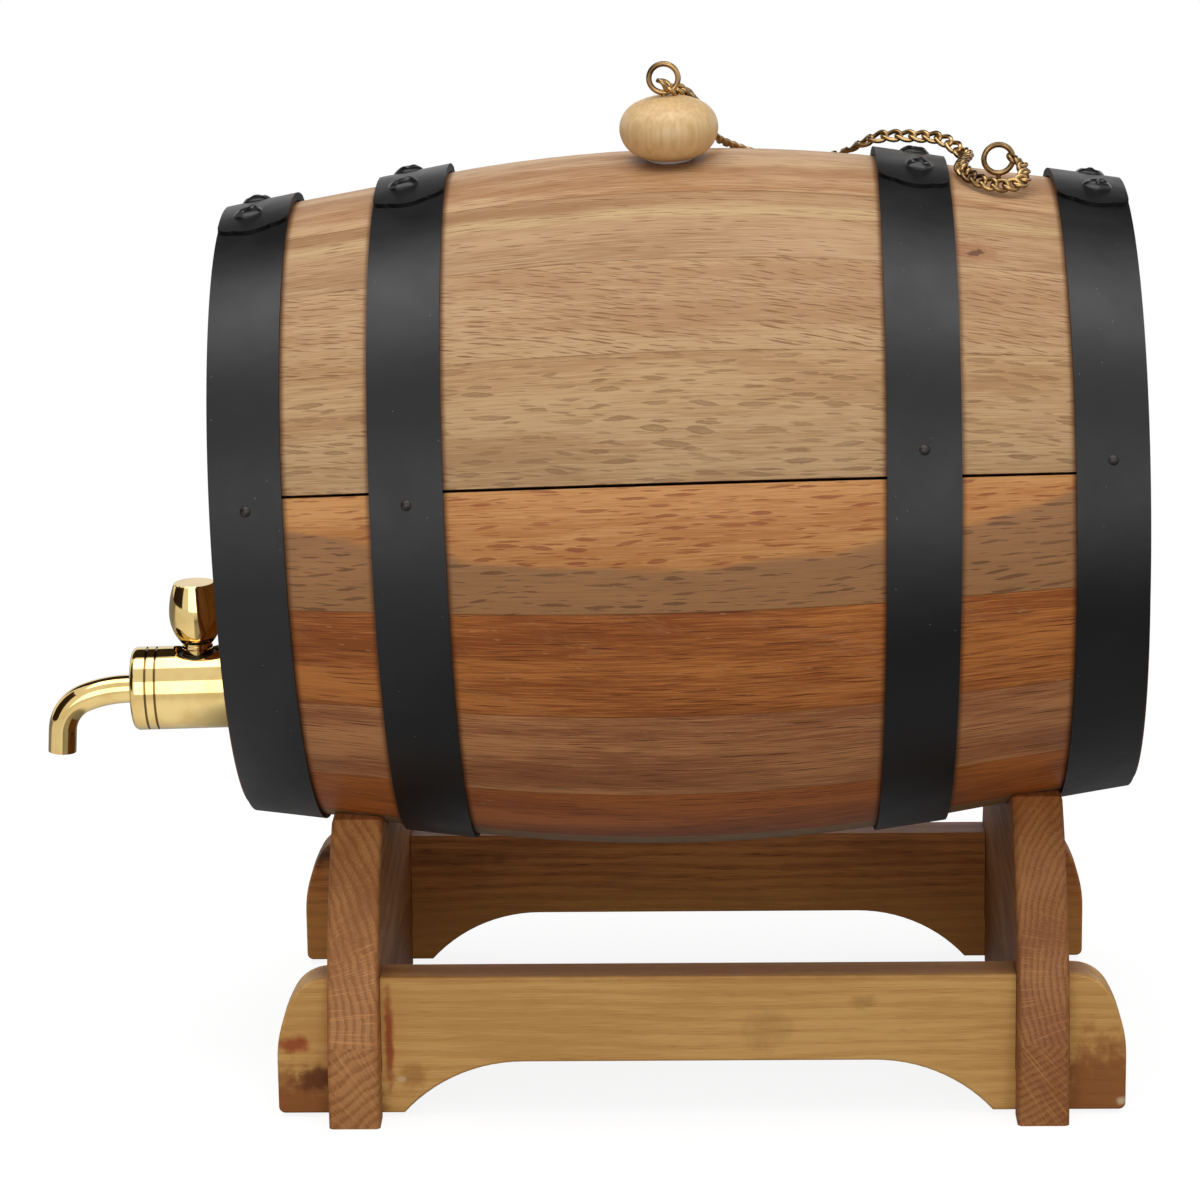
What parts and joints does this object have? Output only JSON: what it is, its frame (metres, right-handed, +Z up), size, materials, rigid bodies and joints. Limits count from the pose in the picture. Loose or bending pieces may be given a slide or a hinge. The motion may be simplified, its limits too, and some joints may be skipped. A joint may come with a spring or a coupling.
{
  "type": "cask drink dispenser",
  "caption": "Small oak cask lying on a scalloped wooden stand, with black steel hoops, a brass tap with a barrel knob in the front head, and a turned wooden bung on a brass chain.",
  "frame": {"origin": "under the middle of the dispenser's overall box, on the table top", "axes": "+X along the cask from the tap to the rear head, +Z up, -Y the side that shows the hoops' lap ends"},
  "size_m": [0.3368, 0.2134, 0.3093],
  "materials": {
    "stave_oak": "satin varnish over flecked oak",
    "head_oak": "satin varnish over oak",
    "stand_oak": "honey-brown satin varnish over oak",
    "hoop_steel": "satin black paint",
    "rivet_steel": "satin black paint",
    "bung_wood": "pale turned wood, satin",
    "silicone": "milky, half clear silicone",
    "polished_brass": "polished",
    "aged_brass": "antique brown",
    "black_rubber": "matt"
  },
  "bodies": {
    "stand": {"rail_right": "stand_oak", "rail_left": "stand_oak", "cradle_front_lower": "stand_oak", "cradle_front_upper": "stand_oak", "cradle_rear_lower": "stand_oak", "cradle_rear_upper": "stand_oak"},
    "cask": {"stave_01": "stave_oak", "stave_02": "stave_oak", "stave_03": "stave_oak", "stave_04": "stave_oak", "stave_05": "stave_oak", "stave_06": "stave_oak", "stave_07": "stave_oak", "stave_08": "stave_oak", "stave_09": "stave_oak", "stave_10": "stave_oak", "stave_11": "stave_oak", "stave_12": "stave_oak", "stave_13": "stave_oak", "stave_14": "stave_oak", "stave_15": "stave_oak", "stave_16": "stave_oak", "stave_17": "stave_oak", "stave_18": "stave_oak", "head_front": "head_oak", "head_rear": "head_oak", "hoop_front_chime": "hoop_steel", "hoop_front_bilge": "hoop_steel", "hoop_rear_bilge": "hoop_steel", "hoop_rear_chime": "hoop_steel", "lap_rivets": "rivet_steel", "hoop_nails": "rivet_steel", "cask_eye": "aged_brass", "chain": "aged_brass", "tap_body": "polished_brass", "tap_spout": "polished_brass", "tap_gland": "polished_brass", "tap_o_ring": "black_rubber", "tap_washer_outer": "black_rubber", "tap_washer_inner": "black_rubber", "tap_nut": "polished_brass"},
    "bung": {"bung_stopper": "bung_wood", "bung_seal": "silicone", "bung_eye": "aged_brass"},
    "tap_handle": {"tap_plug": "polished_brass", "tap_knob": "polished_brass"}
  },
  "joints": [
    {"name": "cask_lift", "type": "slide", "parent": "stand", "child": "cask", "axis": [0, 0, 1], "range_m": [0, 0.08]},
    {"name": "bung_pull", "type": "slide", "parent": "cask", "child": "bung", "axis": [-0.0226, -0.0993, 0.9948], "range_m": [0, 0.06], "deforming": ["chain"]},
    {"name": "tap_turn", "type": "hinge", "parent": "cask", "child": "tap_handle", "pos_m": [-0.11983, 0, 0.11356], "axis": [-0.0227, 0, 0.9997], "range_deg": [0, 90]}
  ]
}
